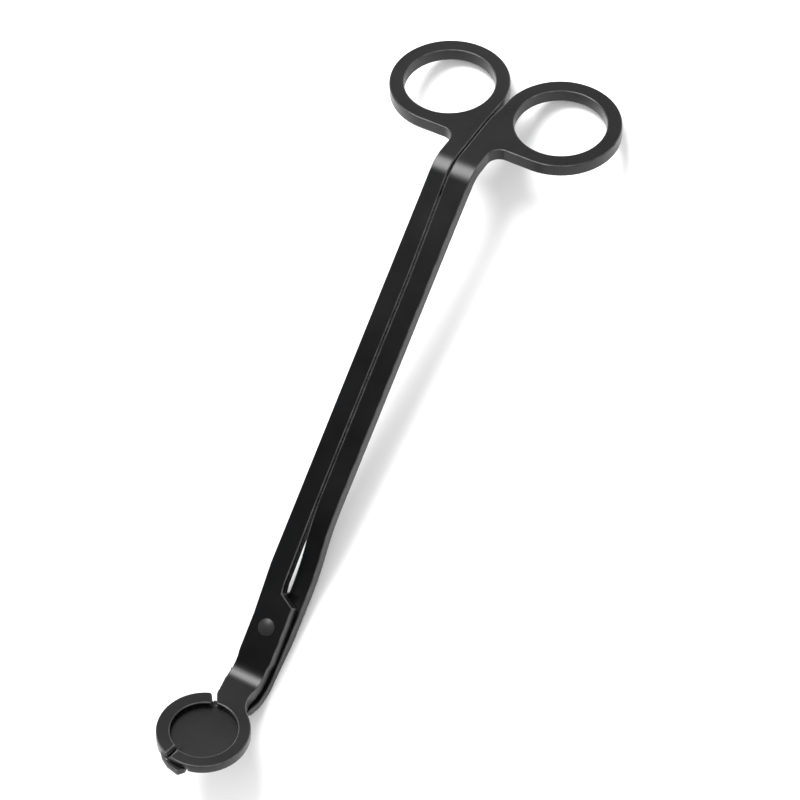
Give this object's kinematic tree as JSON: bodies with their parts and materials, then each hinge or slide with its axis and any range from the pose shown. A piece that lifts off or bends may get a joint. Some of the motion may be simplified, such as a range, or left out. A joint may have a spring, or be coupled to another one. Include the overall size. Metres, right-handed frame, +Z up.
{
  "type": "wick trimmer",
  "caption": "Long-handled scissors for candle wicks: bent shanks reach into a jar, a crescent blade shears the wick and a small round tray catches it.",
  "frame": {"origin": "centre of the tool's outline, on the table that it lies on", "axes": "+Y from the jaws to the finger rings, +Z up from the table, +X to the right with the tray facing up and the rings away from the viewer"},
  "size_m": [0.0574, 0.1824, 0.0225],
  "materials": {
    "lever_steel": "satin black coated steel",
    "tray_steel": "satin black coated steel sheet",
    "rivet_steel": "satin black coated steel, burnished on the dome"
  },
  "bodies": {
    "tray_side": {"tray_lever": "lever_steel", "tray_plate": "tray_steel", "pivot_rivet": "rivet_steel"},
    "blade_side": {"blade_lever": "lever_steel"}
  },
  "joints": [
    {"name": "scissor_pivot", "type": "hinge", "parent": "tray_side", "child": "blade_side", "pos_m": [0, -0.0533, 0.00705], "axis": [0, -0.1361, 0.9907], "range_deg": [0, 30]}
  ]
}
